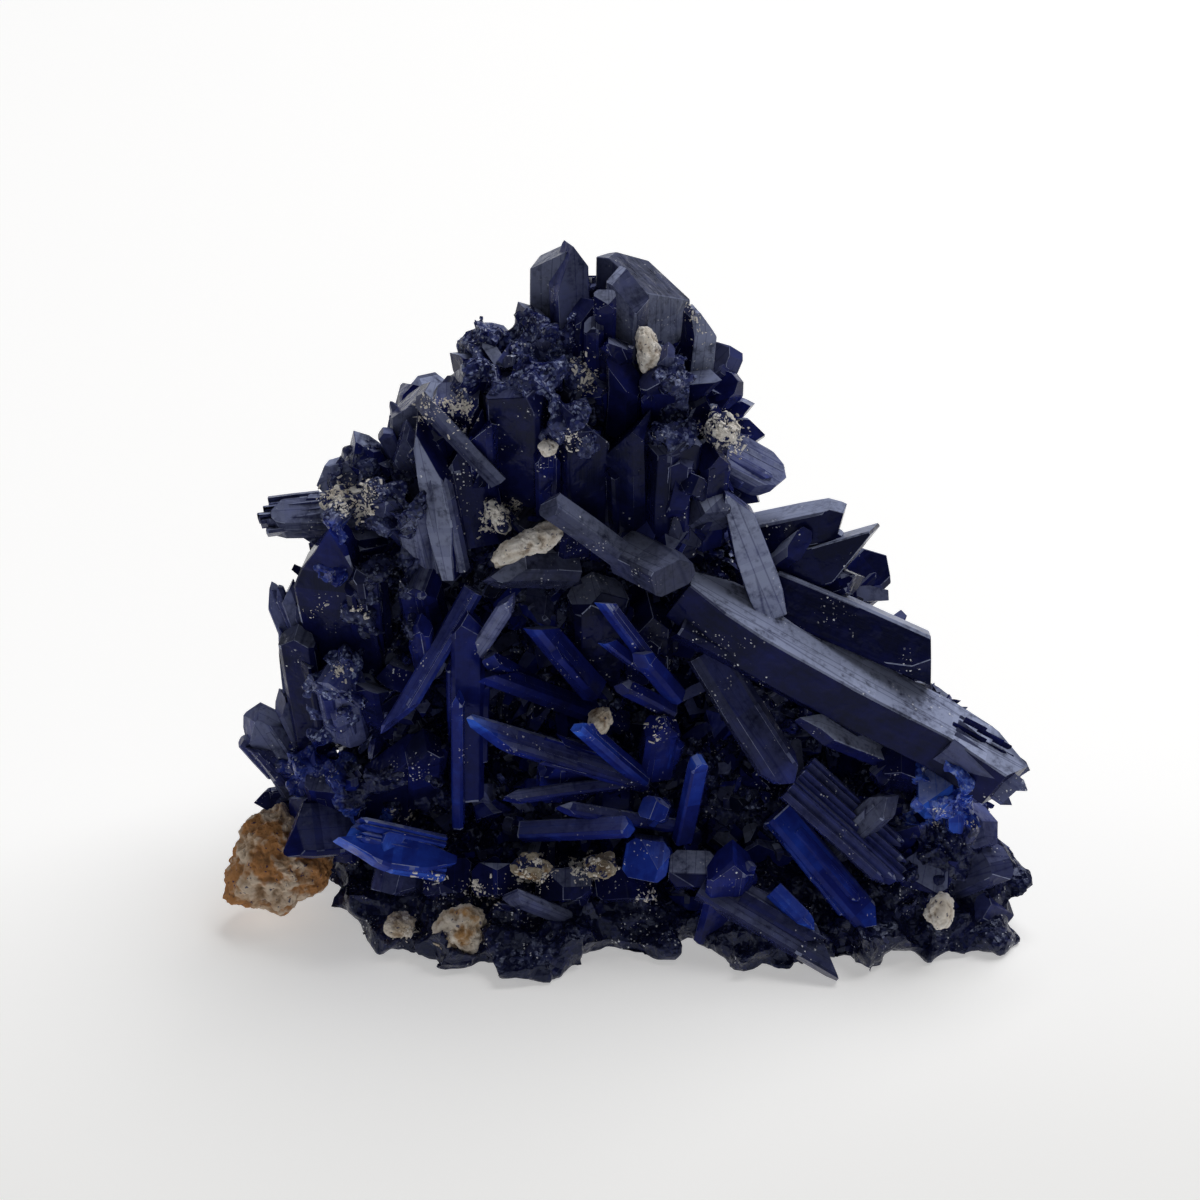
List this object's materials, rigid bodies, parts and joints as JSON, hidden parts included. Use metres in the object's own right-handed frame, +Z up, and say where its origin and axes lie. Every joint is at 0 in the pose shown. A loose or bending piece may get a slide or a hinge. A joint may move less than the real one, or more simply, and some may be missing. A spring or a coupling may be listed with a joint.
{
  "type": "azurite specimen",
  "caption": "Standing cabinet specimen of bladed dark blue azurite crystals in a peaked cluster, with pale and rust-stained lumps of matrix, cut flat under its foot",
  "frame": {"origin": "middle of the bounding box, on the flat cut that the specimen stands on", "axes": "+X to the right along the widest way, with the display face toward -Y; +Y to the back; +Z up"},
  "size_m": [0.0634, 0.0307, 0.0551],
  "materials": {
    "azurite": "glassy flat crystal faces, near-black blue, brighter blue where broken",
    "matrix_rust": "dull earthy clay and sandstone, stained orange-brown",
    "matrix_cream": "dull cream clay",
    "matrix_pale": "dull pale tan clay and sandstone"
  },
  "bodies": {
    "root": {"azurite_crystals": "azurite", "matrix_lump": "matrix_rust", "matrix_wedge": "matrix_cream", "matrix_nub": "matrix_pale", "matrix_peak": "matrix_pale", "matrix_bead": "matrix_pale", "matrix_shoulder": "matrix_pale", "matrix_flank": "matrix_pale", "matrix_chip": "matrix_pale", "matrix_foot": "matrix_pale", "matrix_heel": "matrix_pale", "matrix_seam_left": "matrix_pale", "matrix_seam_right": "matrix_pale", "matrix_toe": "matrix_pale", "matrix_back": "matrix_pale"}
  },
  "joints": []
}
